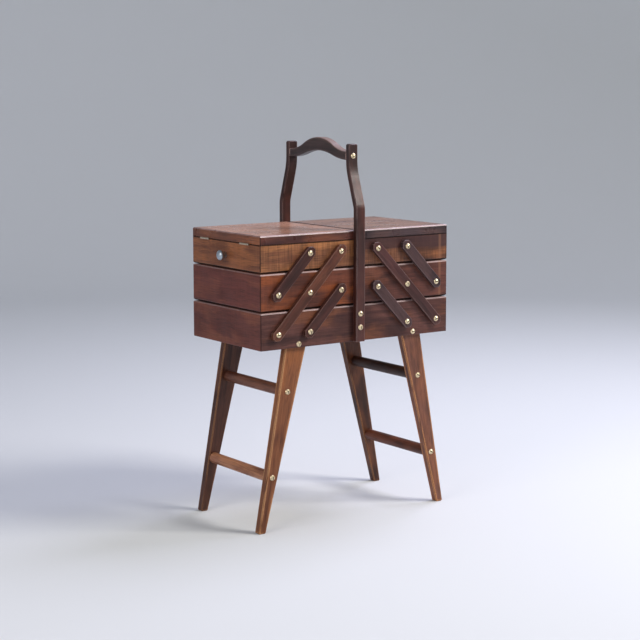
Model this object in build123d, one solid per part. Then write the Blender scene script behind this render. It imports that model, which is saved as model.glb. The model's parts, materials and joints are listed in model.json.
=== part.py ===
from build123d import *
import os
from math import atan2, cos, degrees, hypot, sin, tan

os.makedirs("parts", exist_ok=True)

# A cantilever sewing box on splayed legs. X runs along the box, Y through it with the front at -Y, and Z is
# up from the floor. The origin is on the floor below the middle of the box. All sizes are in millimetres.

# Box and its tiers
box_length = 430.0
case_depth = 234.0
case_bottom = 340.0        # height of the box's lower edge above the floor
case_height = 68.0
middle_height = 69.1
top_height = 50.6
lid_height = 17.2
lid_panel_thickness = 5.0
board_thickness = 8.0      # walls of the case, the trays and the lids' rims
floor_thickness = 4.0      # plywood floors
floor_groove_depth = 4.0
skirt_height = 16.0        # the case's walls reach this far below its floor and hide the legs' tops
tray_floor_lift = 3.0
divider_thickness = 6.0
divider_groove_depth = 2.0
divider_drop = 8.0         # the divider stays this far below the tray's rim
tier_gap = 1.2
lid_gap = 0.3
halves_gap = 1.0           # between the left and right trays at the middle of the box
upright_clearance = 0.6    # trays and lids pass this far behind the handle's uprights
panel_fit = 0.1            # play of floors and dividers in their grooves

# Rounded edges of the tiers
corner_arris = 2.0
tray_bottom_arris = 5.2
tray_top_arris = 4.0
seam_arris = 0.6           # where lid and tray meet
case_bottom_arris = 1.0

# Lift arms and their pivots
case_pivot_height = 28.2   # above the case's lower edge
middle_pivot_height = 30.8  # above the middle tray's lower edge
pivot_run = 69.5           # from one pivot column to the next
outer_pivot_inset = 33.5   # from the end of the box
link_width = 20.5
link_thickness = 7.0
link_overhang = 13.0       # beyond its last pivot
link_clip = 7.0            # clipped corners
link_arris = 0.8
link_standoff = 1.6        # from the case's face to the arm
link_play = 0.3            # between an arm and the washer or head beside it
pivot_play = 0.08          # radial, between an arm and its screw

# Round-head screws and washers
screw_head_radius = 5.3
screw_head_height = 3.2
screw_shank_radius = 2.0
screw_point = 1.5
screw_bite = 5.5           # how far a pivot screw reaches into its board
screw_fit = 0.02
washer_radius = 5.8

# Legs and rungs
leg_inset = 59.0           # from the end of the box to the leg, at the box's lower edge
leg_splay = 60.0           # how far out the foot stands from there
leg_width_top = 45.0
leg_width_foot = 14.5
leg_thickness = 15.0
leg_arris = 1.2
foot_rounding = 2.5
leg_screw_height = 6.5     # above the box's lower edge
rung_radius = 10.5
rung_heights = {"lower": 102.5, "upper": 258.5}
rung_arris = 1.0
rung_screw_bite = 16.0
leg_screw_bite = 10.0

# Handle
upright_width = 20.0
upright_thickness = 10.8
upright_arris = 1.2
upright_top_rounding = 4.0
upright_knee_lift = 40.0   # from the lids to the knee, where the upright starts to lean inwards
upright_lean_rise = 73.0   # from the knee to where it stands straight again
upright_lean_inset = 24.0  # how far the lean brings it inwards
upright_end = 45.0         # straight above the lean
upright_knee_radius = 25.0
upright_bow_radius = 95.0  # of the gentler bend above the lean
upright_screw_heights = (27.0, 52.5)  # above the box's lower edge
upright_screw_bite = 6.0
grip_screw_drop = 22.0     # below the top of the upright
grip_screw_bite = 20.0
grip_width = 18.0
grip_end_thickness = 16.0
grip_top_rise = 24.0
grip_underside_rise = 15.0
grip_arris = 3.0

# Lid hinges and knobs
hinge_length = 30.0
hinge_spread = 136.0       # between the middles of a lid's two hinges
hinge_leaf_width = 6.0     # let into the edge of the board
hinge_leaf_thickness = 0.9
knuckle_radius = 1.8
knuckle_standoff = 2.0     # from the tray's end face to the hinge pin
knuckle_gap = 0.2
centre_knuckle_length = 11.0
hinge_pin_radius = 0.9
hinge_pin_play = 0.05
knob_radius = 9.3
knob_stem_radius = 4.2
knob_flange_radius = 5.2
knob_length = 17.0
knob_head_thickness = 8.0
knob_crown = 1.4           # how far the knob's face is domed
knob_rim_thickness = 1.4
knob_flange_thickness = 1.2
knob_stud_radius = 2.0
knob_stud_length = 6.5

# Levels and planes that follow from those sizes
case_top = case_bottom + case_height
middle_bottom = case_top + tier_gap
middle_top = middle_bottom + middle_height
top_bottom = middle_top + tier_gap
top_top = top_bottom + top_height
lid_bottom = top_top + lid_gap
lid_top = lid_bottom + lid_height
seam_z = (top_top + lid_bottom) / 2

half_length = box_length / 2
case_face = case_depth / 2
tray_face = case_face - upright_clearance
tray_length = (box_length - halves_gap) / 2
tray_x = -(half_length - tray_length / 2)

pivot_rise = middle_bottom + middle_pivot_height - case_bottom - case_pivot_height
link_angle = atan2(pivot_rise, pivot_run)
link_pitch = hypot(pivot_run, pivot_rise)
pivot_columns = [-(half_length - outer_pivot_inset) + pivot_run * n for n in range(3)]
pivot_rows = [case_bottom + case_pivot_height + pivot_rise * n for n in range(3)]
link_inner_face = case_face + link_standoff
link_outer_face = link_inner_face + link_thickness
pivot_head_seat = link_outer_face + link_play

leg_face = case_face - board_thickness
leg_back = leg_face - leg_thickness
leg_top = case_bottom + skirt_height
leg_screw_length = board_thickness + leg_screw_bite
rung_screw_length = leg_thickness + rung_screw_bite
upright_inner_top = case_face - upright_lean_inset
upright_knee = lid_top + upright_knee_lift
upright_lean_end = upright_knee + upright_lean_rise
handle_top = upright_lean_end + upright_end
grip_screw_z = handle_top - grip_screw_drop
hinge_axis_x = -(half_length + knuckle_standoff)
knob_z = (top_bottom + top_top) / 2


def save(name, *pieces):
    """Write one node, a single piece or a group of like pieces."""
    solids = [solid for piece in pieces for solid in piece.solids()]
    shape = solids[0] if len(solids) == 1 else Compound(children=solids)
    export_step(shape, f"parts/{name}.step")


def both_sides(name, *left_pieces):
    """Write a left-hand node and its mirror image on the right."""
    save(f"left_{name}", *left_pieces)
    save(f"right_{name}", *[piece.mirror(Plane.YZ) for piece in left_pieces])


def slab(x0, x1, y0, y1, z0, z1):
    """A block between two corners."""
    middle = ((x0 + x1) / 2, (y0 + y1) / 2, (z0 + z1) / 2)
    return Pos(*middle) * Box(abs(x1 - x0), abs(y1 - y0), abs(z1 - z0))


def front_and_back(piece):
    """A piece at the front and its mirror image at the back."""
    return [piece, piece.mirror(Plane.XZ)]


def facing(side, x, y, z):
    """Where a thing modelled standing on its seat points outwards from the front (-1) or the back (1)."""
    return Pos(x, side * y, z) * Rot(-90 * side, 0, 0)


def screw(length):
    """A round-head screw, its seat at z = 0, its head above and its shank below."""
    with BuildPart() as made:
        with BuildSketch(Plane.XZ):
            with BuildLine():
                dome_radius = (screw_head_radius**2 + screw_head_height**2) / (2 * screw_head_height)
                Polyline(
                    (0, screw_head_height),
                    (0, -length),
                    (screw_shank_radius / 3, -length),
                    (screw_shank_radius, -length + screw_point),
                    (screw_shank_radius, 0),
                    (screw_head_radius, 0),
                )
                RadiusArc((screw_head_radius, 0), (0, screw_head_height), -dome_radius)
            make_face()
        revolve(axis=Axis.Z)
    return made.part


def screw_hole(length):
    """The hole that the shank of such a screw fills."""
    radius = screw_shank_radius + screw_fit
    return Pos(0, 0, -(length + screw_fit) / 2) * Cylinder(radius, length + screw_fit)


def washer(thickness):
    """A washer with its outer face at z = 0."""
    ring = Cylinder(washer_radius, thickness) - Cylinder(screw_shank_radius + screw_fit, 2 * thickness)
    return Pos(0, 0, -thickness / 2) * ring


def rounded_block(length, depth, bottom, top, bottom_arris, top_arris, x=0.0):
    """The outer form of a tier, its upright corners rounded and the arrises above and below mitred there."""
    height = top - bottom
    along = tier_section(depth, height, bottom_arris, top_arris)
    across = tier_section(length, height, bottom_arris, top_arris)
    block = extrude(Plane.YZ * along, length / 2, both=True)
    block &= extrude(Plane.XZ * across, depth / 2, both=True)
    block &= extrude(RectangleRounded(length, depth, corner_arris), height / 2, both=True)
    return Pos(x, 0, (bottom + top) / 2) * block


def tier_section(width, height, bottom_arris, top_arris):
    """A tier's outline as seen from one side."""
    outline = Rectangle(width, height)
    outline = fillet(outline.vertices().group_by(Axis.Y)[-1], top_arris)
    return fillet(outline.vertices().group_by(Axis.Y)[0], bottom_arris)


def walls(block, cuts):
    """Cut a tier's outer form into its front, back, left and right walls, less grooves and holes."""
    box = block.bounding_box()
    inner_x = (box.min.X + board_thickness, box.max.X - board_thickness)
    inner_y = (box.min.Y + board_thickness, box.max.Y - board_thickness)
    height = (box.min.Z, box.max.Z)
    regions = [
        slab(box.min.X, box.max.X, box.min.Y, inner_y[0], *height),
        slab(box.min.X, box.max.X, inner_y[1], box.max.Y, *height),
        slab(box.min.X, inner_x[0], *inner_y, *height),
        slab(inner_x[1], box.max.X, *inner_y, *height),
    ]
    return [(block & region) - cuts for region in regions]


def tray_floor(block, underside, play):
    """A floor let into grooves in the walls of a tier, or the grooves themselves when play is 0."""
    box = block.bounding_box()
    edge = board_thickness - floor_groove_depth + play
    return slab(
        box.min.X + edge,
        box.max.X - edge,
        box.min.Y + edge,
        box.max.Y - edge,
        underside,
        underside + floor_thickness,
    )


def pivots(row, first_column, last_column):
    """Where the screws of one tier sit in its left half, as (x, z)."""
    return [(x, pivot_rows[row]) for x in pivot_columns[first_column : last_column + 1]]


def pivot_screws(places, face):
    """Screws and washers that hold the lift arms to one tier, at the front and the back."""
    length = pivot_head_seat - face + screw_bite
    washer_face = link_inner_face - link_play
    pieces = []
    for side in (-1, 1):
        for x, z in places:
            pieces.append(facing(side, x, pivot_head_seat, z) * screw(length))
            pieces.append(facing(side, x, washer_face, z) * washer(washer_face - face))
    return pieces


def pivot_holes(places, face):
    """Holes for those screws in the walls."""
    hole = screw_hole(pivot_head_seat - face + screw_bite)
    return [facing(side, x, pivot_head_seat, z) * hole for side in (-1, 1) for x, z in places]


def link(first, last):
    """A lift arm at the front of the left half, from one pivot to another, as (column, row)."""
    steps = last[1] - first[1]
    length = steps * link_pitch
    half_width = link_width / 2
    start, end = -link_overhang, length + link_overhang
    outline = Polyline(
        (start + link_clip, half_width),
        (start, half_width - link_clip),
        (start, link_clip - half_width),
        (start + link_clip, -half_width),
        (end - link_clip, -half_width),
        (end, link_clip - half_width),
        (end, half_width - link_clip),
        (end - link_clip, half_width),
        close=True,
    )
    arm = extrude(Plane.XZ * make_face(outline), link_thickness)
    arm = chamfer(arm.faces().sort_by(Axis.Y)[0].edges(), link_arris)
    for n in range(steps + 1):
        bore = Rot(90, 0, 0) * Cylinder(screw_shank_radius + pivot_play, 3 * link_thickness)
        arm -= Pos(n * link_pitch, 0, 0) * bore
    place = Pos(pivot_columns[first[0]], -link_inner_face, pivot_rows[first[1]])
    return place * Rot(0, -degrees(link_angle), 0) * arm


def leg_edges(z):
    """Inner and outer edge of the left legs at a height, as x."""
    share = z / case_bottom
    outer = half_length - leg_inset + leg_splay * (1 - share)
    width = leg_width_foot + (leg_width_top - leg_width_foot) * share
    return -(outer - width), -outer


def leg_middle(z):
    """Middle of the left legs at a height, as x."""
    return sum(leg_edges(z)) / 2


def leg():
    """The front left leg, a board that tapers to its foot."""
    inner_foot, outer_foot = leg_edges(0)
    inner_top, outer_top = leg_edges(leg_top)
    outline = Polyline(
        (inner_foot, 0), (outer_foot, 0), (outer_top, leg_top), (inner_top, leg_top), close=True
    )
    board = Pos(0, -leg_back, 0) * extrude(Plane.XZ * make_face(outline), leg_thickness)
    board = fillet(board.edges().filter_by(Axis.Y).group_by(Axis.Z)[0], foot_rounding)
    faces = board.faces().sort_by(Axis.Y)
    return chamfer(faces[0].edges() + faces[-1].edges(), leg_arris)


def ogee(start, end):
    """Three points on each of two equal arcs that leave and arrive upright, from one point to another."""
    run, rise = end[0] - start[0], end[1] - start[1]
    turn = 2 * atan2(run, rise)
    radius = rise / (2 * sin(turn))

    def leaving(angle):
        return (start[0] + radius * (1 - cos(angle)), start[1] + radius * sin(angle))

    def arriving(angle):
        return (end[0] - radius * (1 - cos(angle)), end[1] - radius * sin(angle))

    return [
        (leaving(0), leaving(turn / 2), leaving(turn)),
        (arriving(turn), arriving(turn / 2), arriving(0)),
    ]


def long_edges(piece, half_width, end_axis, ends):
    """The edges along the two sides of a strip, without those on its ends."""
    sides = [face for face in piece.faces() if abs(abs(face.center().X) - half_width) < 0.01]
    edges = [edge for face in sides for edge in face.edges()]
    return [edge for edge in edges if all(abs(end_axis(edge.center()) - end) > 0.01 for end in ends)]


def upright():
    """The back upright, a strip that runs straight up the box, leans inwards from its knee and ends upright."""
    lean = atan2(upright_lean_inset, upright_lean_rise)
    turns = []
    for side in (0, upright_thickness):
        shift = side * tan(lean / 2)
        turns.append((case_face + side, upright_knee + shift))
        turns.append((upright_inner_top + side, upright_lean_end + shift))
    inner_knee, inner_bow, outer_knee, outer_bow = turns
    outline = Polyline(
        (case_face, case_bottom),
        inner_knee,
        inner_bow,
        (upright_inner_top, handle_top),
        (upright_inner_top + upright_thickness, handle_top),
        outer_bow,
        outer_knee,
        (case_face + upright_thickness, case_bottom),
        close=True,
    )
    profile = make_face(outline)
    rounding = (
        (inner_knee, upright_knee_radius),
        (outer_knee, upright_knee_radius + upright_thickness),
        (outer_bow, upright_bow_radius),
        (inner_bow, upright_bow_radius + upright_thickness),
    )
    for turn, radius in rounding:
        profile = fillet(profile.vertices().sort_by_distance(turn)[0], radius)
    strip = extrude(Plane.YZ * profile, upright_width / 2, both=True)
    strip = fillet(strip.edges().filter_by(Axis.Y).group_by(Axis.Z)[-1], upright_top_rounding)
    edges = long_edges(strip, upright_width / 2, lambda point: point.Z, (case_bottom,))
    return chamfer(edges, upright_arris)


def grip():
    """The grip between the uprights, humped in the middle and straight at its ends."""
    reach = upright_inner_top
    low = grip_screw_z - grip_end_thickness / 2
    high = grip_screw_z + grip_end_thickness / 2
    lines = []
    for z, rise in ((low, grip_underside_rise), (high, grip_top_rise)):
        for arc in ogee((z, 0), (z + rise, reach)):
            for way in (-1, 1):
                lines.append(ThreePointArc(*[(way * (reach - along), up) for up, along in arc]))
    for way in (-1, 1):
        lines.append(Line((way * reach, low), (way * reach, high)))
    bar = extrude(Plane.YZ * make_face(lines), grip_width / 2, both=True)
    edges = long_edges(bar, grip_width / 2, lambda point: point.Y, (-reach, reach))
    return fillet(edges, grip_arris)


def hinge_barrel(y, length, radius):
    """A cylinder on the hinge axis of the left lid."""
    return Pos(hinge_axis_x, y, seam_z) * Rot(90, 0, 0) * Cylinder(radius, length)


def hinge_knuckles(centre_y):
    """The stretches of a hinge's barrel: the middle one on the lid and the two outer ones on the tray."""
    outer_length = (hinge_length - centre_knuckle_length) / 2 - knuckle_gap
    outer_offset = (centre_knuckle_length + outer_length) / 2 + knuckle_gap
    middle = [(centre_y, centre_knuckle_length)]
    outer = [(centre_y + way * outer_offset, outer_length) for way in (-1, 1)]
    return middle, outer


def leaf_recess(centre_y):
    """The shallow seat of both leaves in the edges of tray and lid."""
    reach = lid_gap / 2 + hinge_leaf_thickness
    outer_x, inner_x = hinge_axis_x, -half_length + hinge_leaf_width
    half = hinge_length / 2
    return slab(outer_x, inner_x, centre_y - half, centre_y + half, seam_z - reach, seam_z + reach)


def hinge_leaf(centre_y, knuckles, up):
    """A leaf with its knuckles, on the lid (up 1) or on the tray (up -1)."""
    near = seam_z + up * lid_gap / 2
    far = near + up * hinge_leaf_thickness
    half = hinge_length / 2
    inner_x = -half_length + hinge_leaf_width
    leaf = slab(-half_length, inner_x, centre_y - half, centre_y + half, near, far)
    for y, length in knuckles:
        leaf += slab(hinge_axis_x, -half_length, y - length / 2, y + length / 2, near, far)
        leaf += hinge_barrel(y, length, knuckle_radius)
    return leaf - hinge_barrel(centre_y, 2 * hinge_length, hinge_pin_radius + hinge_pin_play)


def knob():
    """A turned knob with a coned back, on the left end, with the stud that holds it."""
    neck = knob_length - knob_head_thickness
    shoulder = knob_length - knob_crown
    with BuildPart() as made:
        with BuildSketch(Plane.XZ):
            with BuildLine():
                Polyline(
                    (0, knob_length),
                    (0, -knob_stud_length),
                    (knob_stud_radius, -knob_stud_length),
                    (knob_stud_radius, 0),
                    (knob_flange_radius, 0),
                    (knob_flange_radius, knob_flange_thickness),
                    (knob_stem_radius, 2 * knob_flange_thickness),
                    (knob_stem_radius, neck),
                    (knob_radius, shoulder - knob_rim_thickness),
                    (knob_radius, shoulder),
                )
                crown_radius = (knob_radius**2 + knob_crown**2) / (2 * knob_crown)
                RadiusArc((knob_radius, shoulder), (0, knob_length), -crown_radius)
            make_face()
        revolve(axis=Axis.Z)
    return Pos(-half_length, 0, knob_z) * Rot(0, -90, 0) * made.part


def make_case():
    """The bottom case, one tray of the full length."""
    block = rounded_block(
        box_length, case_depth, case_bottom, case_top, case_bottom_arris, tray_top_arris
    )
    floor_underside = case_bottom + skirt_height
    holes = [tray_floor(block, floor_underside, 0)]
    places = pivots(0, 0, 1)
    for hole in pivot_holes(places, case_face):
        holes += [hole, hole.mirror(Plane.YZ)]
    for side in (-1, 1):
        for height in upright_screw_heights:
            place = facing(side, 0, case_face + upright_thickness, case_bottom + height)
            holes.append(place * screw_hole(upright_thickness + upright_screw_bite))
        for hand in (-1, 1):
            x = -hand * leg_middle(case_bottom + leg_screw_height)
            place = facing(side, x, case_face, case_bottom + leg_screw_height)
            holes.append(place * screw_hole(leg_screw_length))
    names = ("case_front_board", "case_back_board", "case_left_end", "case_right_end")
    for name, wall in zip(names, walls(block, holes)):
        save(name, wall)
    save("case_floor", tray_floor(block, floor_underside, panel_fit))
    screws = pivot_screws(places, case_face)
    save("case_pivot_screws", *screws, *[piece.mirror(Plane.YZ) for piece in screws])


def make_middle_trays():
    """The middle trays, one each side."""
    block = rounded_block(
        tray_length, 2 * tray_face, middle_bottom, middle_top, tray_bottom_arris, tray_top_arris, tray_x
    )
    underside = middle_bottom + tray_floor_lift
    places = pivots(1, 0, 2)
    holes = [tray_floor(block, underside, 0)] + pivot_holes(places, tray_face)
    front, back, outer, inner = walls(block, holes)
    both_sides("middle_long_boards", front, back)
    both_sides("middle_outer_end", outer)
    both_sides("middle_inner_end", inner)
    both_sides("middle_floor", tray_floor(block, underside, panel_fit))
    both_sides("middle_pivot_screws", *pivot_screws(places, tray_face))


def make_top_trays():
    """The top trays with their dividers, knobs and lower hinge leaves."""
    block = rounded_block(
        tray_length, 2 * tray_face, top_bottom, top_top, tray_bottom_arris, seam_arris, tray_x
    )
    underside = top_bottom + tray_floor_lift
    floor_top = underside + floor_thickness
    divider_top = top_top - divider_drop
    half_divider = divider_thickness / 2
    groove_y = tray_face - board_thickness + divider_groove_depth
    groove = slab(tray_x - half_divider, tray_x + half_divider, -groove_y, groove_y, floor_top, top_top)
    divider = slab(
        tray_x - half_divider + panel_fit,
        tray_x + half_divider - panel_fit,
        panel_fit - groove_y,
        groove_y - panel_fit,
        floor_top + panel_fit,
        divider_top,
    )
    stud = Pos(-half_length, 0, knob_z) * Rot(0, -90, 0)
    stud_hole = Cylinder(knob_stud_radius + screw_fit, knob_stud_length + screw_fit)
    holes = [tray_floor(block, underside, 0), groove]
    holes.append(stud * Pos(0, 0, -(knob_stud_length + screw_fit) / 2) * stud_hole)
    places = pivots(2, 1, 2)
    holes += pivot_holes(places, tray_face)
    leaves = []
    for centre_y in (-hinge_spread / 2, hinge_spread / 2):
        holes.append(leaf_recess(centre_y))
        leaves.append(hinge_leaf(centre_y, hinge_knuckles(centre_y)[1], -1))
    front, back, outer, inner = walls(block, holes)
    both_sides("top_long_boards", front, back)
    both_sides("top_outer_end", outer)
    both_sides("top_inner_end", inner)
    both_sides("top_floor", tray_floor(block, underside, panel_fit))
    both_sides("top_divider", divider)
    both_sides("top_pivot_screws", *pivot_screws(places, tray_face))
    both_sides("top_hinge_leaves", *leaves)
    both_sides("top_knob", knob())


def make_lids():
    """The lids: a panel on a rim, with the upper hinge leaves and the pins."""
    block = rounded_block(
        tray_length, 2 * tray_face, lid_bottom, lid_top, seam_arris, tray_top_arris, tray_x
    )
    panel_underside = lid_top - lid_panel_thickness
    box = block.bounding_box()
    above = slab(box.min.X, box.max.X, box.min.Y, box.max.Y, panel_underside, lid_top)
    holes = [above]
    leaves = []
    for centre_y in (-hinge_spread / 2, hinge_spread / 2):
        holes.append(leaf_recess(centre_y))
        leaves.append(hinge_leaf(centre_y, hinge_knuckles(centre_y)[0], 1))
        leaves.append(hinge_barrel(centre_y, hinge_length, hinge_pin_radius))
    both_sides("lid_panel", block & above)
    both_sides("lid_rim", *walls(block, holes))
    both_sides("lid_hinge_leaves", *leaves)


def make_links():
    """The lift arms: a long one that carries both trays and two short ones that keep them level."""
    both_sides("long_links", *front_and_back(link((0, 0), (2, 2))))
    both_sides("lower_short_links", *front_and_back(link((1, 0), (2, 1))))
    both_sides("upper_short_links", *front_and_back(link((0, 1), (1, 2))))


def make_legs():
    """Four legs and the rungs that tie the front ones to the back ones."""
    front_left = leg()
    screw_z = case_bottom + leg_screw_height
    seat = facing(-1, leg_middle(screw_z), case_face, screw_z)
    front_left -= seat * screw_hole(leg_screw_length)
    leg_screw = seat * screw(leg_screw_length)
    rung_screws = []
    for level, z in rung_heights.items():
        place = Pos(leg_middle(z), 0, z) * Rot(90, 0, 0)
        rung = place * chamfer(Cylinder(rung_radius, 2 * leg_back).edges(), rung_arris)
        seat = facing(-1, leg_middle(z), leg_face, z)
        hole = seat * screw_hole(rung_screw_length)
        front_left -= hole
        rung = rung - hole - hole.mirror(Plane.XZ)
        rung_screws.append(seat * screw(rung_screw_length))
        both_sides(f"{level}_rung", rung)
    both_sides("front_leg", front_left)
    both_sides("back_leg", front_left.mirror(Plane.XZ))
    for name, pieces in (("leg_screws", [leg_screw]), ("rung_screws", rung_screws)):
        left = [piece for one in pieces for piece in front_and_back(one)]
        save(name, *left, *[piece.mirror(Plane.YZ) for piece in left])


def make_handle():
    """The two uprights, the grip between them and their screws."""
    back, bar = upright(), grip()
    screws = []
    for height in upright_screw_heights:
        seat = facing(1, 0, case_face + upright_thickness, case_bottom + height)
        length = upright_thickness + upright_screw_bite
        back -= seat * screw_hole(length)
        screws.append(seat * screw(length))
    seat = facing(1, 0, upright_inner_top + upright_thickness, grip_screw_z)
    length = upright_thickness + grip_screw_bite
    hole = seat * screw_hole(length)
    back -= hole
    bar = bar - hole - hole.mirror(Plane.XZ)
    screws.append(seat * screw(length))
    save("back_upright", back)
    save("front_upright", back.mirror(Plane.XZ))
    save("handle_grip", bar)
    save("handle_screws", *[piece for one in screws for piece in front_and_back(one)])


make_case()
make_middle_trays()
make_top_trays()
make_lids()
make_links()
make_legs()
make_handle()
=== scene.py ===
# The looks of a cantilever sewing box: stained mahogany trays on lift arms, brass screws and hinges, turned knobs.
# The frame is in metres with Z up, the front at -Y and the origin on the floor below the middle of the box.

import json
import random
from math import atan2, cos, pi, radians, sin

import bmesh
import bpy
from mathutils import Matrix, Vector

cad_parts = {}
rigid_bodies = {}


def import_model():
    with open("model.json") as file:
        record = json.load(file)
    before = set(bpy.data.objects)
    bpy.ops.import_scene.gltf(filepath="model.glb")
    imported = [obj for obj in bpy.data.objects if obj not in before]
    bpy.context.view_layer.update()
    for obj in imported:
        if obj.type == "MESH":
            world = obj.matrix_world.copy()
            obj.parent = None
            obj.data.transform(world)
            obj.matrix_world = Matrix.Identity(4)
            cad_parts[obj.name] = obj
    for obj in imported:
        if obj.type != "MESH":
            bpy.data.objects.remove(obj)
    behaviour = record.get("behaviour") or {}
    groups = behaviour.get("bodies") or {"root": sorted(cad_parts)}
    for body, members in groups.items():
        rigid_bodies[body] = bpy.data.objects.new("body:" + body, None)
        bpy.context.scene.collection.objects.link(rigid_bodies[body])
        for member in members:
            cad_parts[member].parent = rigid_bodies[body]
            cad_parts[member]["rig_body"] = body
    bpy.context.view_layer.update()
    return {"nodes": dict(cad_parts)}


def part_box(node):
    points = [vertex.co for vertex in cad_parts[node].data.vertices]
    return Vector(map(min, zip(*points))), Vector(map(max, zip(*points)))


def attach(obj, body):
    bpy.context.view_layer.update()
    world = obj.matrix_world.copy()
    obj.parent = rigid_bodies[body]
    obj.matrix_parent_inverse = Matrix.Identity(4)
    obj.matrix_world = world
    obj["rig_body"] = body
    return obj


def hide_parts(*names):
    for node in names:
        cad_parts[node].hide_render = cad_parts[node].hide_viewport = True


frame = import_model()
nodes = frame["nodes"]

MM = 0.001
SIDES = {"left": -1, "right": 1}


def linear(colour):
    """An sRGB hex colour as linear red, green, blue and alpha."""
    parts = [int(colour[n : n + 2], 16) / 255 for n in (1, 3, 5)]
    return [c / 12.92 if c <= 0.04045 else ((c + 0.055) / 1.055) ** 2.4 for c in parts] + [1.0]


def per(size):
    """The scale at which a texture repeats about every so many millimetres."""
    return 1 / (size * MM)


def add(tree, kind, inputs=None, output=0, **settings):
    """Add a node with its settings and its sockets' values or links, and give back one of its outputs."""
    node = tree.nodes.new("ShaderNode" + kind)
    for name, value in settings.items():
        setattr(node, name, value)
    for name, value in (inputs or {}).items():
        if isinstance(value, bpy.types.NodeSocket):
            tree.links.new(value, node.inputs[name])
        else:
            node.inputs[name].default_value = value
    return node.outputs[output] if node.outputs else node


# Settings that many nodes share: a mix of two colours, a product, and a change that begins and ends softly
COLOUR = {"output": 2, "data_type": "RGBA"}
TIMES = {"operation": "MULTIPLY"}
SOFT = {"interpolation_type": "SMOOTHSTEP"}


def new_material(name):
    """An empty material with its node tree."""
    material = bpy.data.materials.new(name)
    material.use_nodes = True
    material.node_tree.nodes.clear()
    return material, material.node_tree


# Wood

# Sizes of the pattern in the wood, in millimetres
SWAY_LENGTH = 90
SWAY_DEPTH = 9
STREAK_WIDTH = 9
CLOUD_WIDTH = 55
PATCH_WIDTH = 48
RIBBON_WIDTH = 2.3
LINE_WIDTH = 1.9
PORE_SPACING = 1.1
SMEAR_WIDTH = 28
GRAIN_DEPTH = 0.1
BAND_WAVE_LENGTH = 8
ARRIS_CHIP_LENGTH = 9
EDGE_CHIP_LENGTH = 6
PLY_STREAK_WIDTH = 16

# How many looks the shader takes at the faces around a point to find an edge
EDGE_SAMPLES = 8

# Tones that all the mahogany shares
PORE_TONE = "#1E0F0C"
# Painted shade on the rounded upright corners
CORNER_SHADE_TONE = "#1E0C0A"
# Wear and painted highlight on the upper arrises
ARRIS_WEAR_AND_HIGHLIGHT_TONE = "#BCA2A0"
JOINT_TONE = "#B07C5C"
# Painted shade for the seams between the tiers and the parting of the lids
PAINTED_SHADE_TONE = "#160A08"

# How far a board's places turn to bring its grain along X
ALONG_X = (0, 0, 0)
ALONG_Y = (0, 0, -pi / 2)
ALONG_Z = (0, pi / 2, 0)


def along_slope(angle):
    """The turn for a board whose grain climbs from X towards Z by an angle."""
    return (0, angle, 0)


def grain_space(tree, turn, seed):
    """Places in a board with the grain along X, in metres, gently bent as the grain of a real board is.

    Each seed takes the pattern from another place, so that no two boards are alike.
    """
    place = add(tree, "TexCoord", output="Object")
    shift = (seed * 0.37, seed * 0.21, seed * 0.13)
    turned = add(tree, "Mapping", {"Vector": place, "Rotation": turn, "Location": shift})
    sway = add(tree, "TexNoise", {"Vector": turned, "Scale": per(SWAY_LENGTH), "Detail": 1.0}, output="Color")
    centred = add(tree, "VectorMath", {0: sway, 1: (0.5, 0.5, 0.5)}, operation="SUBTRACT")
    bend = add(tree, "VectorMath", {0: centred, 1: (0.0, SWAY_DEPTH * MM, SWAY_DEPTH * MM)}, **TIMES)
    return add(tree, "VectorMath", {0: turned, 1: bend}, operation="ADD")


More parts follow.
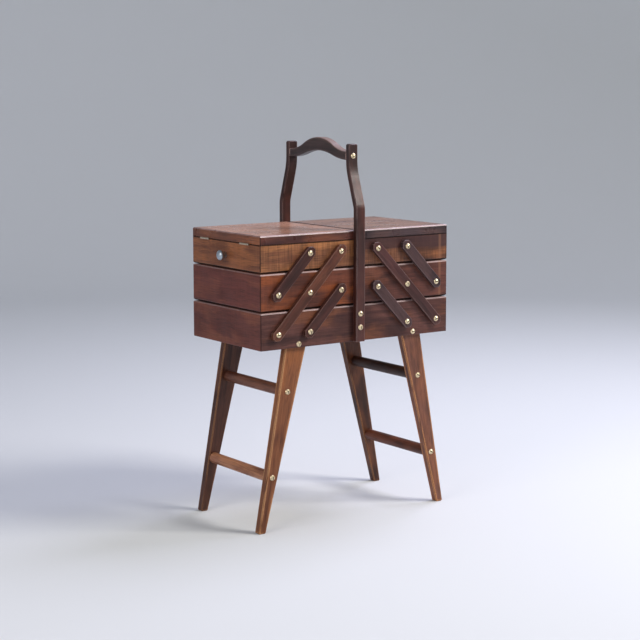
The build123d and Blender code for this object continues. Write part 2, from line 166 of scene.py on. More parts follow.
def stain(tree, grain, tone, figure):
    """The stained wood's colour, with its streaks, its redder patches and its ribbons, and the height of its grain.

    tone holds the stain's darkest and lightest tones and that of the patches where the stain let the wood through.
    figure is how strongly the ribbons across the grain show. Each product with the grain's places draws a pattern
    out along the board, or across it for the ribbons.
    """
    long = add(tree, "VectorMath", {0: grain, 1: (0.045, 1.0, 1.0)}, **TIMES)
    streaks = add(tree, "TexNoise", {"Vector": long, "Scale": per(STREAK_WIDTH), "Detail": 5.0, "Roughness": 0.62})
    broad = add(tree, "VectorMath", {0: grain, 1: (0.5, 1.0, 1.0)}, **TIMES)
    clouds = add(tree, "TexNoise", {"Vector": broad, "Scale": per(CLOUD_WIDTH), "Detail": 2.0})
    both = add(tree, "Math", {0: streaks, 1: clouds}, operation="ADD")
    share = add(tree, "MapRange", {"Value": both, "From Min": 0.74, "From Max": 1.28}, **SOFT)
    colour = add(tree, "Mix", {"Factor": share, "A": linear(tone["deep"]), "B": linear(tone["warm"])}, **COLOUR)

    # Redder patches, where the stain let the wood through, follow the streaks
    flame = add(tree, "VectorMath", {0: grain, 1: (0.55, 1.3, 1.3)}, **TIMES)
    patches = add(tree, "TexNoise", {"Vector": flame, "Scale": per(PATCH_WIDTH), "Detail": 3.0})
    patches = add(tree, "MapRange", {"Value": patches, "From Min": 0.45, "From Max": 0.64}, **SOFT)
    drawn = add(tree, "MapRange", {"Value": streaks, "From Min": 0.25, "From Max": 0.75, "To Min": 0.35})
    glow = add(tree, "Math", {0: patches, 1: drawn}, **TIMES)
    colour = add(tree, "Mix", {"Factor": glow, "A": colour, "B": linear(tone["glow"])}, **COLOUR)

    # The fine lines of the grain, and across them the narrow ribbons of a wavy-grained board
    lying = add(tree, "VectorMath", {0: grain, 1: (0.018, 1.0, 1.0)}, **TIMES)
    lines = add(tree, "TexNoise", {"Vector": lying, "Scale": per(LINE_WIDTH), "Detail": 3.0, "Roughness": 0.6})
    limits = {"From Min": 0.3, "From Max": 0.7, "To Min": 0.78, "To Max": 1.22}
    depth = add(tree, "MapRange", {"Value": lines, **limits})
    if figure:
        upright = add(tree, "VectorMath", {0: grain, 1: (1.0, 0.05, 0.05)}, **TIMES)
        ribbons = add(tree, "TexNoise", {"Vector": upright, "Scale": per(RIBBON_WIDTH), "Detail": 0.5})
        limits = {"From Min": 0.35, "From Max": 0.65, "To Min": 1 - 0.4 * figure, "To Max": 1 + 0.4 * figure}
        ribbons = add(tree, "MapRange", {"Value": ribbons, **limits})
        depth = add(tree, "Math", {0: ribbons, 1: depth}, **TIMES)
    colour = add(tree, "VectorMath", {0: colour, "Scale": depth}, operation="SCALE")

    # Pores are a fifth of a millimetre wide, and are drawn three times that so that a close view shows them
    thin = add(tree, "VectorMath", {0: grain, 1: (0.03, 1.0, 1.0)}, **TIMES)
    pores = add(tree, "TexNoise", {"Vector": thin, "Scale": per(PORE_SPACING), "Detail": 1.0})
    pores = add(tree, "MapRange", {"Value": pores, "From Min": 0.57, "From Max": 0.68})
    share = add(tree, "Math", {0: pores, 1: 0.45}, **TIMES)
    colour = add(tree, "Mix", {"Factor": share, "A": colour, "B": linear(PORE_TONE)}, **COLOUR)
    return colour, add(tree, "Math", {0: streaks, 1: pores}, operation="SUBTRACT")


def satin(tree, colour, height, grain, gloss, shine, painted_shade=None):
    """Wax over stain, rubbed to a satin: soft broad highlights that the open grain breaks up a little.

    Where shade is painted the surface is dull too.
    """
    smears = add(tree, "TexNoise", {"Vector": grain, "Scale": per(SMEAR_WIDTH), "Detail": 4.0})
    limits = {"From Min": 0.3, "From Max": 0.7, "To Min": gloss - 0.06, "To Max": gloss + 0.08}
    roughness = add(tree, "MapRange", {"Value": smears, **limits})
    if painted_shade:
        roughness = add(tree, "Math", {0: roughness, 1: painted_shade}, operation="MAXIMUM")
    bump = add(tree, "Bump", {"Height": height, "Strength": 0.16, "Distance": GRAIN_DEPTH * MM})
    finish = {"Base Color": colour, "Roughness": roughness, "Normal": bump, "IOR": 1.5, "Specular IOR Level": shine}
    shader = add(tree, "BsdfPrincipled", finish)
    add(tree, "OutputMaterial", {"Surface": shader})


# Painted shade on the boards, standing for the shadow in the seams between the tiers: the middle and half the width of
# a band of heights, in millimetres
LID_SEAM = (530.25, 1.1)
SHADED_LOWER_EDGES = {"top": (480.5, 1.8), "middle": (410.2, 1.8)}

# How far from the line where the lids meet the painted shade ends, and where it is at its darkest, in millimetres
PARTING_REACH = 7
PARTING_CORE = 2

# How far a corner joint's pale line reaches from its middle and where it is at its palest, in millimetres
JOINT_REACH = 4.5
JOINT_CORE = 0.5

# The edge of a darker band wanders up and down by as much as this, in millimetres
BAND_SWAY = 14

# How strongly the ribbons show on the end boards
END_FIGURE = 0.15


def tier_mahogany(
    name, seed, front, end, top=None, figure=0.0, crest=0.8, seams=(), parting=False, band=None, joint=None,
    gloss=0.42, shine=0.3
):
    """Mahogany boards of one tray, stained together once the tray was made, so the tone carries round its corners.

    The grain runs round the tray: along X at the front and the back, along Y at the ends. The upper arris is painted
    pale, as far as crest says: partly wear from use and wax, partly a painted highlight of the light above. The rounded
    upright corners are painted dark, as painted shade. Painted shade also darkens the seams above and below a tray and
    the parting between the lids, standing for the shadow in these narrow gaps. A band of heights took the stain darker,
    and a corner joint shows as a paler line. Faces are told apart by which way they look.
    """
    material, tree = new_material(name)
    place = add(tree, "TexCoord", output="Object")
    x = add(tree, "SeparateXYZ", {"Vector": place})
    z = x.node.outputs["Z"]
    way = add(tree, "TexCoord", output="Normal")
    upward = add(tree, "SeparateXYZ", {"Vector": way}, output="Z")
    either_way = add(tree, "VectorMath", {0: way}, operation="ABSOLUTE")
    across = add(tree, "SeparateXYZ", {"Vector": either_way})
    through = across.node.outputs["Y"]
    level = across.node.outputs["Z"]

    grain = grain_space(tree, ALONG_X, seed)
    end_grain = grain_space(tree, ALONG_Y, seed + 1)
    colour, height = stain(tree, grain, front, figure)
    if band:
        low, high, tone = band
        wavy = add(tree, "VectorMath", {0: grain, 1: (0.1, 1.0, 1.0)}, **TIMES)
        wavy = add(tree, "TexNoise", {"Vector": wavy, "Scale": per(BAND_WAVE_LENGTH), "Detail": 3.0})
        shifted = add(tree, "Math", {0: wavy, 1: BAND_SWAY * MM, 2: z}, operation="MULTIPLY_ADD")
        half = BAND_SWAY / 2
        limits = {"From Min": (low + half) * MM, "From Max": (high + half) * MM, "To Max": 0.85}
        share = add(tree, "MapRange", {"Value": shifted, **limits}, **SOFT)
        colour = add(tree, "Mix", {"Factor": share, "A": colour, "B": linear(tone)}, **COLOUR)
    end_colour, end_height = stain(tree, end_grain, end, END_FIGURE)
    at_end = add(tree, "MapRange", {"Value": across, "From Min": 0.65, "From Max": 0.75})
    colour = add(tree, "Mix", {"Factor": at_end, "A": colour, "B": end_colour}, **COLOUR)
    height = add(tree, "Mix", {"Factor": at_end, "A": height, "B": end_height})
    if top:
        top_colour, top_height = stain(tree, grain, top, 0.0)
        on_top = add(tree, "MapRange", {"Value": upward, "From Min": 0.90, "From Max": 0.97})
        colour = add(tree, "Mix", {"Factor": on_top, "A": colour, "B": top_colour}, **COLOUR)
        height = add(tree, "Mix", {"Factor": on_top, "A": height, "B": top_height})

    # Painted shade on the rounded upright corners, where a face looks half along the box and half across it
    sideways = add(tree, "MapRange", {"Value": across, "From Min": 0.12, "From Max": 0.5})
    forward = add(tree, "MapRange", {"Value": through, "From Min": 0.12, "From Max": 0.5, "To Max": 0.8})
    corner = add(tree, "Math", {0: sideways, 1: forward}, **TIMES)
    colour = add(tree, "Mix", {"Factor": corner, "A": colour, "B": linear(CORNER_SHADE_TONE)}, **COLOUR)

    # The upper arris painted pale, partly as wear and partly as a painted highlight of the light above,
    #         # ragged along its length and fainter at the ends, where a face leans but isn't flat
    if crest:
        broken = add(tree, "VectorMath", {0: grain, 1: (0.2, 1.0, 1.0)}, **TIMES)
        ragged = add(tree, "TexNoise", {"Vector": broken, "Scale": per(ARRIS_CHIP_LENGTH), "Detail": 3.0})
        ragged = add(tree, "MapRange", {"Value": ragged, "From Min": 0.32, "From Max": 0.5, "To Min": 0.55})
        leaning = add(tree, "MapRange", {"Value": upward, "From Min": 0.30, "From Max": 0.62, "To Max": crest})
        not_flat = add(tree, "MapRange", {"Value": upward, "From Min": 0.99, "From Max": 0.93})
        at_front = add(tree, "MapRange", {"Value": across, "From Min": 0.5, "From Max": 0.1, "To Min": 0.5})
        arris = add(tree, "Math", {0: leaning, 1: not_flat}, **TIMES)
        arris = add(tree, "Math", {0: arris, 1: ragged}, **TIMES)
        arris = add(tree, "Math", {0: arris, 1: at_front}, **TIMES)
        colour = add(tree, "Mix", {"Factor": arris, "A": colour, "B": linear(ARRIS_WEAR_AND_HIGHLIGHT_TONE)}, **COLOUR)
    if joint:
        off = add(tree, "Math", {0: x, 1: joint * MM}, operation="SUBTRACT")
        off = add(tree, "Math", {0: off}, operation="ABSOLUTE")
        limits = {"From Min": JOINT_REACH * MM, "From Max": JOINT_CORE * MM, "To Max": 0.26}
        close = add(tree, "MapRange", {"Value": off, **limits})
        colour = add(tree, "Mix", {"Factor": close, "A": colour, "B": linear(JOINT_TONE)}, **COLOUR)

    # Painted shade along the seams, on faces that stand upright, and at the parting, on those that don't look along the
    # box
    painted_shade = None
    for middle, reach in seams:
        close = add(tree, "Math", {0: z, 1: middle * MM, 2: reach * MM}, operation="COMPARE")
        painted_shade = add(tree, "Math", {0: painted_shade, 1: close}, operation="MAXIMUM") if painted_shade else close
    if seams:
        upright = add(tree, "MapRange", {"Value": level, "From Min": 0.9, "From Max": 0.8})
        painted_shade = add(tree, "Math", {0: painted_shade, 1: upright}, **TIMES)
    if parting:
        off = add(tree, "Math", {0: x}, operation="ABSOLUTE")
        limits = {"From Min": PARTING_REACH * MM, "From Max": PARTING_CORE * MM}
        close = add(tree, "MapRange", {"Value": off, **limits}, **SOFT)
        not_along = add(tree, "MapRange", {"Value": across, "From Min": 0.9, "From Max": 0.8})
        close = add(tree, "Math", {0: close, 1: not_along}, **TIMES)
        painted_shade = add(tree, "Math", {0: painted_shade, 1: close}, operation="MAXIMUM")
    if painted_shade:
        colour = add(tree, "Mix", {"Factor": painted_shade, "A": colour, "B": linear(PAINTED_SHADE_TONE)}, **COLOUR)
    satin(tree, colour, height, grain, gloss, shine, painted_shade)
    return material


def mahogany(name, turn, seed, tone, reach=1.8, wear=0.5, palm_and_sheen=0.0, gloss=0.42, shine=0.3):
    """One board of mahogany, dark stained and waxed: satin, with fine open pores and soft streaks along the grain.

    Its sharp arrises are rubbed through to a paler tone, over about the reach in millimetres and as far as wear says.
    Its upper side is painted paler too, as far as palm_and_sheen says: partly wear from hands and partly a painted
    sheen of the light above.
    """
    material, tree = new_material(name)
    grain = grain_space(tree, turn, seed)
    colour, height = stain(tree, grain, tone, 0.0)
    broken = add(tree, "VectorMath", {0: grain, 1: (0.12, 1.0, 1.0)}, **TIMES)
    ragged = add(tree, "TexNoise", {"Vector": broken, "Scale": per(EDGE_CHIP_LENGTH), "Detail": 4.0})
    ragged = add(tree, "MapRange", {"Value": ragged, "From Min": 0.32, "From Max": 0.52, "To Max": wear}, **SOFT)
    rounded = add(tree, "Bevel", {"Radius": reach * MM}, samples=EDGE_SAMPLES)
    true = add(tree, "NewGeometry", output="Normal")
    agree = add(tree, "VectorMath", {0: rounded, 1: true}, output="Value", operation="DOT_PRODUCT")
    edge = add(tree, "MapRange", {"Value": agree, "From Min": 0.997, "From Max": 0.93})
    rubbed = add(tree, "Math", {0: edge, 1: ragged}, **TIMES)
    # Painted paler upper side: wear from hands, and a painted sheen of the light above
    if palm_and_sheen:
        way = add(tree, "TexCoord", output="Normal")
        upward = add(tree, "SeparateXYZ", {"Vector": way}, output="Z")
        held_and_lit = add(tree, "MapRange", {"Value": upward, "From Min": 0.3, "From Max": 0.9, "To Max": palm_and_sheen})
        rubbed = add(tree, "Math", {0: rubbed, 1: held_and_lit}, operation="MAXIMUM")
    colour = add(tree, "Mix", {"Factor": rubbed, "A": colour, "B": linear(tone["worn"])}, **COLOUR)
    satin(tree, colour, height, grain, gloss, shine)
    return material


def plywood(name):
    """Birch plywood floors, left pale under a thin stain: matt, with broad faint figure."""
    material, tree = new_material(name)
    grain = grain_space(tree, ALONG_X, 5)
    long = add(tree, "VectorMath", {0: grain, 1: (0.08, 1.0, 1.0)}, **TIMES)
    streaks = add(tree, "TexNoise", {"Vector": long, "Scale": per(PLY_STREAK_WIDTH), "Detail": 4.0})
    tones = {"A": linear("#8A5B3A"), "B": linear("#B98A5E")}
    colour = add(tree, "Mix", {"Factor": streaks, **tones}, **COLOUR)
    bump = add(tree, "Bump", {"Height": streaks, "Strength": 0.2, "Distance": GRAIN_DEPTH * MM})
    shader = add(tree, "BsdfPrincipled", {"Base Color": colour, "Roughness": 0.62, "Normal": bump})
    add(tree, "OutputMaterial", {"Surface": shader})
    return material


# Metal

# Sizes of the pattern on metal, in millimetres
SPOT_WIDTH = 2.5
SPOT_DEPTH = 0.05
CRUMB_WIDTH = 0.8
FINGER_SMEAR_WIDTH = 5


def brass(name, bright, dull, tarnish, roughness):
    """Turned brass that has darkened a little in its hollows: warm, pale and half dull from handling.

    tarnish is how far the dull spots spread.
    """
    material, tree = new_material(name)
    place = add(tree, "TexCoord", output="Object")
    spots = add(tree, "TexNoise", {"Vector": place, "Scale": per(SPOT_WIDTH), "Detail": 3.0})
    hollow = add(tree, "NewGeometry", output="Pointiness")
    deep = add(tree, "MapRange", {"Value": hollow, "From Min": 0.46, "From Max": 0.40})
    limits = {"From Min": 0.62 - tarnish, "From Max": 0.80 - tarnish}
    spotted = add(tree, "MapRange", {"Value": spots, **limits})
    share = add(tree, "Math", {0: spotted, 1: deep}, operation="MAXIMUM")
    colour = add(tree, "Mix", {"Factor": share, "A": linear(bright), "B": linear(dull)}, **COLOUR)
    limits = {"From Min": 0.3, "From Max": 0.7, "To Min": roughness - 0.05, "To Max": roughness + 0.1}
    roughened = add(tree, "MapRange", {"Value": spots, **limits})
    bump = add(tree, "Bump", {"Height": spots, "Strength": 0.15, "Distance": SPOT_DEPTH * MM})
    finish = {"Base Color": colour, "Metallic": 1.0, "Roughness": roughened, "Normal": bump}
    shader = add(tree, "BsdfPrincipled", finish)
    add(tree, "OutputMaterial", {"Surface": shader})
    return material


def slot_tarnish(name):
    """Brass gone brown and dull where old wax and dirt fill the slot of a screw."""
    material, tree = new_material(name)
    place = add(tree, "TexCoord", output="Object")
    crumbs = add(tree, "TexNoise", {"Vector": place, "Scale": per(CRUMB_WIDTH), "Detail": 2.0})
    tones = {"A": linear("#2A1F12"), "B": linear("#5A4426")}
    colour = add(tree, "Mix", {"Factor": crumbs, **tones}, **COLOUR)
    shader = add(tree, "BsdfPrincipled", {"Base Color": colour, "Roughness": 0.7, "Specular IOR Level": 0.2})
    add(tree, "OutputMaterial", {"Surface": shader})
    return material


def nickel_plate(name):
    """Dull nickel plate on a turned knob: grey-blue and satin, with faint smears from fingers."""
    material, tree = new_material(name)
    place = add(tree, "TexCoord", output="Object")
    smears = add(tree, "TexNoise", {"Vector": place, "Scale": per(FINGER_SMEAR_WIDTH), "Detail": 4.0})
    tones = {"A": linear("#98A4AE"), "B": linear("#C2CCD4")}
    colour = add(tree, "Mix", {"Factor": smears, **tones}, **COLOUR)
    limits = {"From Min": 0.3, "From Max": 0.7, "To Min": 0.28, "To Max": 0.44}
    roughness = add(tree, "MapRange", {"Value": smears, **limits})
    shader = add(tree, "BsdfPrincipled", {"Base Color": colour, "Metallic": 1.0, "Roughness": roughness})
    add(tree, "OutputMaterial", {"Surface": shader})
    return material


# Which finish each board takes: the stain took differently on the two sides, and the rungs' tones hold painted light
# and shade

# How steeply the lift arms and the legs stand, with the grain along them
ARM_SLOPE = radians(45.93)
LEG_SLOPE = radians(81.0)

# On the right top tray's front, the heights where a darker band begins and is full, in millimetres, and its tone
DARK_BAND = (504, 512, "#3A2426")

# Where the front's corner joint shows on the right, in millimetres from the middle
CORNER_JOINT = 197

# How far the seeds of the two sides lie apart
SIDE_SEEDS = 30

CASE_FRONT = {"deep": "#3E221E", "warm": "#623C34", "glow": "#7A482E"}
CASE_END = {"deep": "#54271F", "warm": "#68362C", "glow": "#7A4430"}
LID_TOPS = {
    "left": {"deep": "#8E6452", "warm": "#BC8A74", "glow": "#BE8A70"},
    "right": {"deep": "#704C40", "warm": "#946C5C", "glow": "#986F5A"},
}
END_TONES = {
    "lid": {"deep": "#5A2E1C", "warm": "#804A2E", "glow": "#8C5230"},
    "top": {"deep": "#5E3420", "warm": "#8A5434", "glow": "#965C36"},
    "middle": {"deep": "#50241E", "warm": "#66322A", "glow": "#743E2E"},
}
FRONT_TONES = {
    "left": {
        "lid": {"deep": "#3E201B", "warm": "#62362C", "glow": "#70402C"},
        "top": {"deep": "#683E2A", "warm": "#90603F", "glow": "#A0683E"},
        "middle": {"deep": "#442218", "warm": "#703C2A", "glow": "#8E4A24"},
    },
    "right": {
        "lid": {"deep": "#302324", "warm": "#4A393B", "glow": "#543C38"},
        "top": {"deep": "#4E2E20", "warm": "#7C5038", "glow": "#8E5836"},
        "middle": {"deep": "#42221C", "warm": "#643A30", "glow": "#744430"},
    },
}
LONG_ARM_TONES = {
    "left": {"deep": "#381B12", "warm": "#5C3224", "glow": "#683C2A", "worn": "#A88C80"},
    "right": {"deep": "#341C1A", "warm": "#543230", "glow": "#5E3A32", "worn": "#A88C84"},
}
SHORT_ARM_TONES = {
    "left": {"deep": "#2C1410", "warm": "#4A2620", "glow": "#542E24", "worn": "#A08078"},
    "right": {"deep": "#2C1E20", "warm": "#483436", "glow": "#503836", "worn": "#A08A8A"},
}
FRONT_LEG_TONES = {
    "left": {"deep": "#5C321E", "warm": "#865232", "glow": "#925830", "worn": "#CC9868"},
    "right": {"deep": "#543226", "warm": "#7C5040", "glow": "#88543A", "worn": "#CC8E58"},
}
BACK_LEG_TONE = {"deep": "#321A12", "warm": "#563224", "glow": "#6A3E26", "worn": "#A87448"}
# Painted light and shade in the rungs' tones: the lower left rung painted light as though lit, the upper right rung
# painted dark as though in the case's shadow
LIT_AND_SHADED_RUNG_TONES = {
    "left_upper": {"deep": "#482820", "warm": "#704838", "glow": "#7E503A", "worn": "#B48460"},
    "left_lower": {"deep": "#744630", "warm": "#A87258", "glow": "#B47C58", "worn": "#C89870"},
    "right_upper": {"deep": "#20100B", "warm": "#361E16", "glow": "#40241A", "worn": "#7A523A"},
    "right_lower": {"deep": "#422012", "warm": "#643420", "glow": "#723C24", "worn": "#A0683E"},
}
UPRIGHT_TONE = {"deep": "#2A1410", "warm": "#48241E", "glow": "#522A22", "worn": "#A88C88"}
GRIP_TONE = {"deep": "#261A18", "warm": "#42302E", "glow": "#483430", "worn": "#C4A49C"}


def finish_boards():
    """Give each CAD node its own piece of wood."""
    case = tier_mahogany("case_mahogany", 1, CASE_FRONT, CASE_END, figure=0.12)
    birch = plywood("birch_plywood")
    finishes = {
        "case_front_board": case,
        "case_back_board": case,
        "case_left_end": case,
        "case_right_end": case,
        "case_floor": birch,
        "front_upright": mahogany("front_upright_mahogany", ALONG_Z, 5, UPRIGHT_TONE, gloss=0.38, shine=0.42),
        "back_upright": mahogany("back_upright_mahogany", ALONG_Z, 6, UPRIGHT_TONE, gloss=0.40),
        "handle_grip": mahogany(
            "grip_mahogany", ALONG_Y, 7, GRIP_TONE, reach=4.0, wear=1.0, palm_and_sheen=0.35, gloss=0.38, shine=0.4
        ),
    }
    for number, (side, way) in enumerate(SIDES.items()):
        seed = 10 + SIDE_SEEDS * number
        arm = along_slope(-way * ARM_SLOPE)
        leg = along_slope(-way * LEG_SLOPE)
        fronts = FRONT_TONES[side]
        band, joint = (DARK_BAND, CORNER_JOINT) if side == "right" else (None, None)
        trays = {
            "top": tier_mahogany(
                f"{side}_top_mahogany", seed, fronts["top"], END_TONES["top"], figure=0.6, crest=0.0,
                seams=(LID_SEAM, SHADED_LOWER_EDGES["top"]), band=band, joint=joint
            ),
            "middle": tier_mahogany(
                f"{side}_middle_mahogany", seed + 2, fronts["middle"], END_TONES["middle"], figure=0.15,
                seams=(SHADED_LOWER_EDGES["middle"],), joint=joint
            ),
        }
        for tray, boards in trays.items():
            for part in ("long_boards", "outer_end", "inner_end"):
                finishes[f"{side}_{tray}_{part}"] = boards
            finishes[f"{side}_{tray}_floor"] = birch
        finishes[f"{side}_top_divider"] = trays["top"]
        lid = tier_mahogany(
            f"{side}_lid_mahogany", seed + 5, fronts["lid"], END_TONES["lid"], top=LID_TOPS[side],
            seams=(LID_SEAM,), parting=True, gloss=0.28, shine=0.4
        )
        finishes[f"{side}_lid_panel"] = lid
        finishes[f"{side}_lid_rim"] = lid
        finishes[f"{side}_long_links"] = mahogany(
            f"{side}_long_arm_mahogany", arm, seed + 6, LONG_ARM_TONES[side]
        )
        short_arms = mahogany(f"{side}_short_arm_mahogany", arm, seed + 7, SHORT_ARM_TONES[side])
        finishes[f"{side}_lower_short_links"] = short_arms
        finishes[f"{side}_upper_short_links"] = short_arms
        finishes[f"{side}_front_leg"] = mahogany(
            f"{side}_front_leg_mahogany", leg, seed + 8, FRONT_LEG_TONES[side], reach=6.5, wear=1.0
        )
        finishes[f"{side}_back_leg"] = mahogany(
            f"{side}_back_leg_mahogany", leg, seed + 9, BACK_LEG_TONE, reach=4.5, wear=0.85
        )
        for step, rung in enumerate(("upper", "lower")):
            finishes[f"{side}_{rung}_rung"] = mahogany(
                f"{side}_{rung}_rung_mahogany", ALONG_Y, seed + 10 + step, LIT_AND_SHADED_RUNG_TONES[f"{side}_{rung}"]
            )
    for node, material in finishes.items():
        nodes[node].data.materials.clear()
        nodes[node].data.materials.append(material)


# Fittings

# Sizes of the screws and the washers
HEAD_HEIGHT = 3.2 * MM
SLOT_WIDTH = 1.6 * MM
SLOT_DEPTH = 1.5 * MM
SHANK_RADIUS = 2.0 * MM
TIP_RADIUS = 0.6 * MM
TIP_LENGTH = 1.5 * MM
WASHER_BORE_RADIUS = 2.1 * MM

# How many facets go round a screw and a knob, and how many rings up the dome of a screw's head
HEAD_SEGMENTS = 40
KNOB_SEGMENTS = 64
HEAD_RINGS = 9

# Every screw is longer than this, head and all, and every washer is thinner
SCREW_REACH = 7.0 * MM

# The seed for how far each screw was turned
SCREW_SEED = 17

# Points nearer to each other than this are one point
WELD = 1e-6

# Edges that bend more than this stay crisp
CRISP = radians(35)


def solids_of(node):
    """The boxes of a CAD node's separate solids."""
    shape = bmesh.new()
    shape.from_mesh(nodes[node].data)
    bmesh.ops.remove_doubles(shape, verts=shape.verts, dist=WELD)
    left = set(shape.verts)
    boxes = []
    while left:
        stack = [left.pop()]
        found = []
        while stack:
            vertex = stack.pop()
            found.append(vertex.co.copy())
            for edge in vertex.link_edges:
                other = edge.other_vert(vertex)
                if other in left:
                    left.remove(other)
                    stack.append(other)
        low = Vector([min(co[n] for co in found) for n in range(3)])
        high = Vector([max(co[n] for co in found) for n in range(3)])
        boxes.append((low, high))
    shape.free()
    return boxes


def lathe(shape, profile, segments, place):
    """Turn a profile of (radius, height) points about Z and put it in place."""
    rings = []
    for radius, height in profile:
        if not radius:
            rings.append([shape.verts.new(place @ Vector((0, 0, height)))])
            continue
        ring = []
        for n in range(segments):
            angle = 2 * pi * n / segments
            ring.append(shape.verts.new(place @ Vector((radius * cos(angle), radius * sin(angle), height))))
        rings.append(ring)
    for first, second in zip(rings, rings[1:]):
        for n in range(segments):
            corners = [first[n % len(first)], first[(n + 1) % len(first)]]
            corners += [second[(n + 1) % len(second)], second[n % len(second)]]
            corners = list(dict.fromkeys(corners))
            if len(corners) > 2:
                shape.faces.new(corners)


def slotted_head(shape, radius, place, turn):
    """A round screw head with its slot cut across it and its seat at the bottom; the slot takes the second material."""
    head = bmesh.new()
    dome = (radius**2 + HEAD_HEIGHT**2) / (2 * HEAD_HEIGHT)
    steepest = atan2(radius, dome - HEAD_HEIGHT)
    profile = [(radius, 0.0)]
    for n in range(1, HEAD_RINGS):
        angle = steepest * (1 - n / HEAD_RINGS)
        profile.append((dome * sin(angle), dome * cos(angle) - (dome - HEAD_HEIGHT)))
    profile.append((0.0, HEAD_HEIGHT))
    lathe(head, profile, HEAD_SEGMENTS, Matrix.Identity(4))
    for way in (-1, 1):
        parts = head.verts[:] + head.edges[:] + head.faces[:]
        bmesh.ops.bisect_plane(head, geom=parts, plane_co=(way * SLOT_WIDTH / 2, 0, 0), plane_no=(1, 0, 0))
    floor = HEAD_HEIGHT - SLOT_DEPTH
    strip = [
        face
        for face in head.faces
        if abs(face.calc_center_median().x) < SLOT_WIDTH / 2 and face.calc_center_median().z > floor
    ]
    made = bmesh.ops.extrude_face_region(head, geom=strip)["geom"]
    for part in made:
        if isinstance(part, bmesh.types.BMVert):
            part.co.z = min(part.co.z, floor)
    bmesh.ops.delete(head, geom=[face for face in strip if face.is_valid], context="FACES")
    bmesh.ops.remove_doubles(head, verts=head.verts, dist=WELD)
    bmesh.ops.dissolve_degenerate(head, edges=head.edges, dist=WELD)
    for face in head.faces:
        face.normal_update()
        middle = face.calc_center_median()
        in_slot = abs(face.normal.x) > 0.95 or abs(middle.z - floor) < WELD
        face.material_index = 1 if in_slot and abs(middle.x) < SLOT_WIDTH else 0

    # In order of place, so that the mesh comes out the same each run
    for index, vertex in enumerate(sorted(head.verts, key=lambda vertex: tuple(vertex.co))):
        vertex.index = index
    for index, face in enumerate(sorted(head.faces, key=lambda face: tuple(face.calc_center_median()))):
        face.index = index
    head.verts.sort()
    head.faces.sort()
    mesh = bpy.data.meshes.new("slotted_head")
    head.to_mesh(mesh)
    head.free()
    mesh.transform(place @ Matrix.Rotation(turn, 4, "Z"))
    shape.from_mesh(mesh)
    bpy.data.meshes.remove(mesh)


def join(name, body, shape, materials, node):
    """Turn a shape into a piece that rides on a body and stands for a CAD node."""
    bmesh.ops.recalc_face_normals(shape, faces=shape.faces)
    mesh = bpy.data.meshes.new(name)
    shape.to_mesh(mesh)
    shape.free()
    mesh.shade_smooth()
    mesh.set_sharp_from_angle(angle=CRISP)
    for material in materials:
        mesh.materials.append(material)
    piece = bpy.data.objects.new(name, mesh)
    bpy.context.scene.collection.objects.link(piece)
    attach(piece, body)
    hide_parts(node)


def standing(point, way):
    """Where a thing modelled standing on its seat points along Y towards a side."""
    return Matrix.Translation(point) @ Matrix.Rotation(-way * pi / 2, 4, "X")


def fit_screws(materials):
    """Slotted round-head brass screws, each turned as it came, and the washers behind the lift arms."""
    draw = random.Random(SCREW_SEED)
    for name in sorted(nodes):
        if not name.endswith("screws"):
            continue
        shape = bmesh.new()
        for low, high in sorted(solids_of(name), key=lambda box: tuple(box[0])):
            middle = (low + high) / 2
            way = 1 if middle.y > 0 else -1
            seat_y = high.y if way > 0 else low.y
            radius = (high.x - low.x) / 2
            length = high.y - low.y
            if length < SCREW_REACH:
                bore = WASHER_BORE_RADIUS
                ring = [(radius, -length), (radius, 0.0), (bore, 0.0), (bore, -length), (radius, -length)]
                lathe(shape, ring, HEAD_SEGMENTS, standing(Vector((middle.x, seat_y, middle.z)), way))
                continue
            seat = Vector((middle.x, seat_y - way * HEAD_HEIGHT, middle.z))
            place = standing(seat, way)
            tip = HEAD_HEIGHT - length
            shank = [(SHANK_RADIUS, 0.0), (SHANK_RADIUS, tip + TIP_LENGTH), (TIP_RADIUS, tip)]
            lathe(shape, [(radius, 0.0)] + shank + [(0.0, tip)], HEAD_SEGMENTS, place)
            slotted_head(shape, radius, place, draw.uniform(0, pi))
        join(f"brass_{name}", nodes[name]["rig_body"], shape, materials, name)


# The knob's outline from the middle of its face to its seat: radius and height, in millimetres
KNOB_PROFILE = (
    (0.0, 17.0),
    (2.4, 16.8),
    (4.6, 16.3),
    (6.6, 15.4),
    (8.1, 14.2),
    (9.0, 12.9),
    (9.3, 11.8),
    (9.1, 11.0),
    (8.6, 10.1),
    (7.7, 8.8),
    (6.8, 7.3),
    (6.0, 5.8),
    (5.3, 4.2),
    (4.8, 2.8),
    (4.6, 1.4),
    (4.8, 0.0),
    (0.0, 0.0),
)


def fit_knobs(material):
    """Turned metal knobs: a cone that widens from the board to a softly domed face."""
    for side, way in SIDES.items():
        low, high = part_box(f"{side}_top_knob")
        middle = (low + high) / 2
        tip = low.x if way < 0 else high.x
        seat = Vector((tip - way * KNOB_PROFILE[0][1] * MM, middle.y, middle.z))
        place = Matrix.Translation(seat) @ Matrix.Rotation(way * pi / 2, 4, "Y")
        shape = bmesh.new()
        profile = [(radius * MM, height * MM) for radius, height in KNOB_PROFILE]
        lathe(shape, profile, KNOB_SEGMENTS, place)
        join(f"{side}_turned_knob", f"{side}_top_tray", shape, [material], f"{side}_top_knob")


def finish_metal():
    """Brass on screws and hinges, dull plate on the knobs."""
    fit_screws([brass("screw_brass", "#EAD8B2", "#80643E", 0.06, 0.36), slot_tarnish("screw_slot_tarnish")])
    fit_knobs(nickel_plate("knob_nickel_plate"))
    hinge_brass = brass("hinge_brass", "#CDBFA8", "#6E5F4C", 0.05, 0.30)
    for name, node in nodes.items():
        if name.endswith("hinge_leaves"):
            node.data.materials.clear()
            node.data.materials.append(hinge_brass)


# Studio

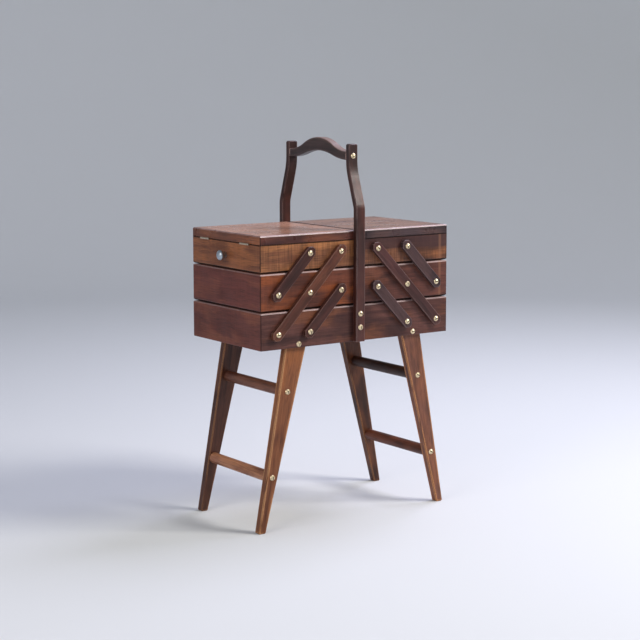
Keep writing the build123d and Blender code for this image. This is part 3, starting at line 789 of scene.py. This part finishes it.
# Sizes in metres
FLOOR_RADIUS = 3.2
COVE_RADIUS = 1.5
WALL_HEIGHT = 3.6

STUDIO_SEGMENTS = 96
COVE_STEPS = 12
PAPER_TONE = "#DADDE0"

# Where each lamp stands as seen from the box, how far off and how wide it is in metres, its watts and its tone
LAMP_TARGET = Vector((0, 0, 450 * MM))
LAMPS = {
    "key_box": ((0.556, -0.640, 0.66), 3.0, 1.0, 74, "#FFFAF4"),
    "over_box": ((0.57, 0.05, 0.80), 2.6, 1.5, 46, "#E2E2FF"),
    "fill_box": ((-0.96, -0.30, 0.35), 3.0, 1.6, 26, "#FFF8F0"),
}
AIR_TONE = "#E6ECF4"
AIR_STRENGTH = 0.32


def studio_cove():
    """A floor of pale matt paper that curves up into a round wall."""
    profile = [(0.0, 0.0), (FLOOR_RADIUS, 0.0)]
    for step in range(1, COVE_STEPS + 1):
        angle = step / COVE_STEPS * pi / 2
        profile.append((FLOOR_RADIUS + COVE_RADIUS * sin(angle), COVE_RADIUS * (1 - cos(angle))))
    profile.append((FLOOR_RADIUS + COVE_RADIUS, WALL_HEIGHT))
    shape = bmesh.new()
    lathe(shape, profile, STUDIO_SEGMENTS, Matrix.Identity(4))
    bmesh.ops.recalc_face_normals(shape, faces=shape.faces)
    mesh = bpy.data.meshes.new("studio_cove")
    shape.to_mesh(mesh)
    shape.free()
    mesh.shade_smooth()
    cove = bpy.data.objects.new("studio_cove", mesh)
    bpy.context.scene.collection.objects.link(cove)
    material, tree = new_material("studio_paper")
    finish = {"Base Color": linear(PAPER_TONE), "Roughness": 0.9, "Specular IOR Level": 0.0}
    shader = add(tree, "BsdfPrincipled", finish)
    add(tree, "OutputMaterial", {"Surface": shader})
    mesh.materials.append(material)


def light_studio():
    """A key from the front right, a box over the right that draws the bright arrises, and a fill from the left."""
    for name, (direction, distance, size, power, tone) in LAMPS.items():
        lamp = bpy.data.lights.new(name, "AREA")
        lamp.shape = "SQUARE"
        lamp.size = size
        lamp.energy = power
        lamp.color = linear(tone)[:3]
        box = bpy.data.objects.new(name, lamp)
        box.location = LAMP_TARGET + Vector(direction).normalized() * distance
        box.rotation_euler = (LAMP_TARGET - box.location).to_track_quat("-Z", "Y").to_euler()
        box.visible_camera = False
        bpy.context.scene.collection.objects.link(box)
    world = bpy.data.worlds.new("studio_air")
    world.use_nodes = True
    background = world.node_tree.nodes["Background"]
    background.inputs["Color"].default_value = linear(AIR_TONE)
    background.inputs["Strength"].default_value = AIR_STRENGTH
    bpy.context.scene.world = world


# Camera

# Where the photograph was taken from, in millimetres, with its angles in degrees and its lens in millimetres
CAMERA_PLACE = (-1818.4, -2571.25, 823.34)
CAMERA_YAW = 35.23
CAMERA_PITCH = -8.27
CAMERA_ROLL = -0.05
CAMERA_LENS = 93.13
SENSOR_WIDTH = 36.0

# How far the camera sees, in metres: past the studio's wall
SIGHT = 50.0


def place_camera():
    """The camera at the photograph's angle."""
    data = bpy.data.cameras.new("camera")
    data.lens = CAMERA_LENS
    data.sensor_width = SENSOR_WIDTH
    data.clip_end = SIGHT
    camera = bpy.data.objects.new("camera", data)
    turn = Matrix.Rotation(radians(-CAMERA_YAW), 4, "Z")
    tilt = Matrix.Rotation(radians(90 + CAMERA_PITCH), 4, "X")
    roll = Matrix.Rotation(radians(CAMERA_ROLL), 4, "Z")
    camera.matrix_world = Matrix.Translation(Vector(CAMERA_PLACE) * MM) @ turn @ tilt @ roll
    bpy.context.scene.collection.objects.link(camera)
    bpy.context.scene.camera = camera


finish_boards()
finish_metal()
studio_cove()
light_studio()
place_camera()
bpy.context.scene.view_settings.view_transform = "Standard"

bpy.context.view_layer.update()
